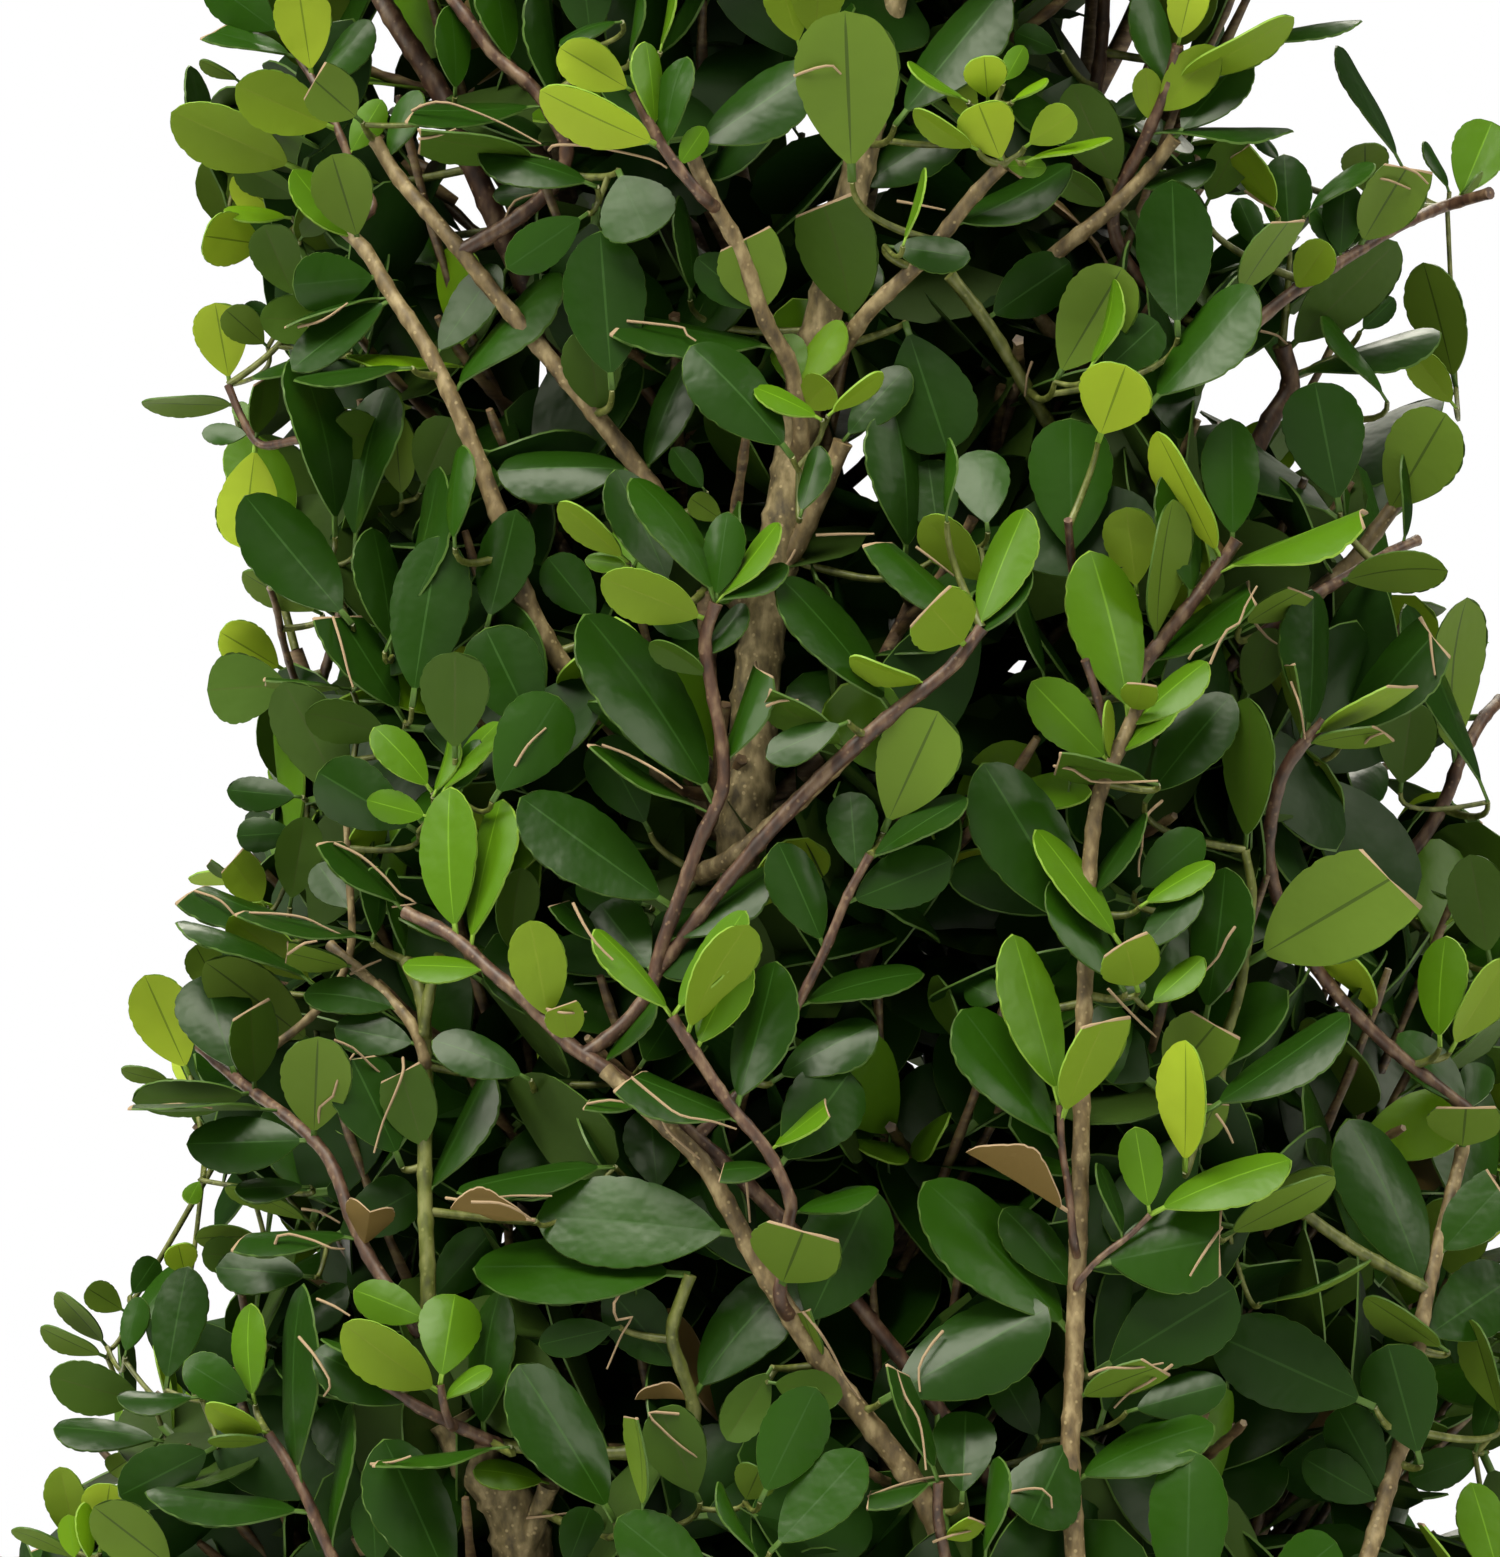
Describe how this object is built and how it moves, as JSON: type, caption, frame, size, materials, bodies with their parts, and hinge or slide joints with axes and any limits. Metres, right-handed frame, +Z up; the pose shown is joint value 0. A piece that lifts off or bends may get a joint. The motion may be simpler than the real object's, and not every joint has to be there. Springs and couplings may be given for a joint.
{
  "type": "cone-clipped japanese holly shrub",
  "caption": "Evergreen shrub clipped to a slim cone: one leaning trunk with steep boughs inside a leafy crown, cut flat at ground level.",
  "frame": {"origin": "middle of the flat cut under the trunk, at ground level", "axes": "+Z up along the plant; the side seen in the picture looks along -Y; +X is to its right"},
  "size_m": [0.2617, 0.2601, 0.8005],
  "materials": {
    "bark": "tan-olive bark with fine wrinkles, pores and leaf scars",
    "young_bark": "purple-brown to tan young bark",
    "leaf": "leathery glossy dark green leaves with paler undersides",
    "young_leaf": "soft glossy yellow-green young leaves",
    "dry_leaf": "dull tan edges and leaves dried after clipping"
  },
  "bodies": {
    "root": {"trunk": "bark", "bough_skirt_1": "young_bark", "bough_skirt_2": "young_bark", "bough_skirt_3": "young_bark", "bough_skirt_4": "young_bark", "bough_skirt_5": "young_bark", "bough_lower_1": "young_bark", "bough_lower_2": "young_bark", "bough_lower_3": "young_bark", "bough_lower_4": "young_bark", "bough_lower_5": "young_bark", "bough_middle_1": "young_bark", "bough_middle_2": "young_bark", "bough_middle_3": "young_bark", "bough_middle_4": "young_bark", "bough_upper_1": "young_bark", "bough_upper_2": "young_bark", "bough_upper_3": "young_bark", "bough_upper_4": "young_bark", "bough_high_1": "young_bark", "bough_high_2": "young_bark", "bough_high_3": "young_bark", "bough_crest_1": "young_bark", "bough_crest_2": "young_bark", "bough_crest_3": "young_bark", "mass_skirt_1": "leaf", "mass_skirt_2": "leaf", "mass_skirt_3": "leaf", "mass_skirt_4": "leaf", "mass_skirt_5": "leaf", "mass_lower_1": "leaf", "mass_lower_2": "leaf", "mass_lower_3": "leaf", "mass_lower_4": "leaf", "mass_lower_5": "leaf", "mass_middle_1": "leaf", "mass_middle_2": "leaf", "mass_middle_3": "leaf", "mass_middle_4": "leaf", "mass_upper_1": "leaf", "mass_upper_2": "leaf", "mass_upper_3": "leaf", "mass_upper_4": "leaf", "mass_high_1": "leaf", "mass_high_2": "leaf", "mass_high_3": "leaf", "mass_crest_1": "leaf", "mass_crest_2": "leaf", "mass_crest_3": "leaf", "mass_top": "leaf"}
  },
  "joints": []
}
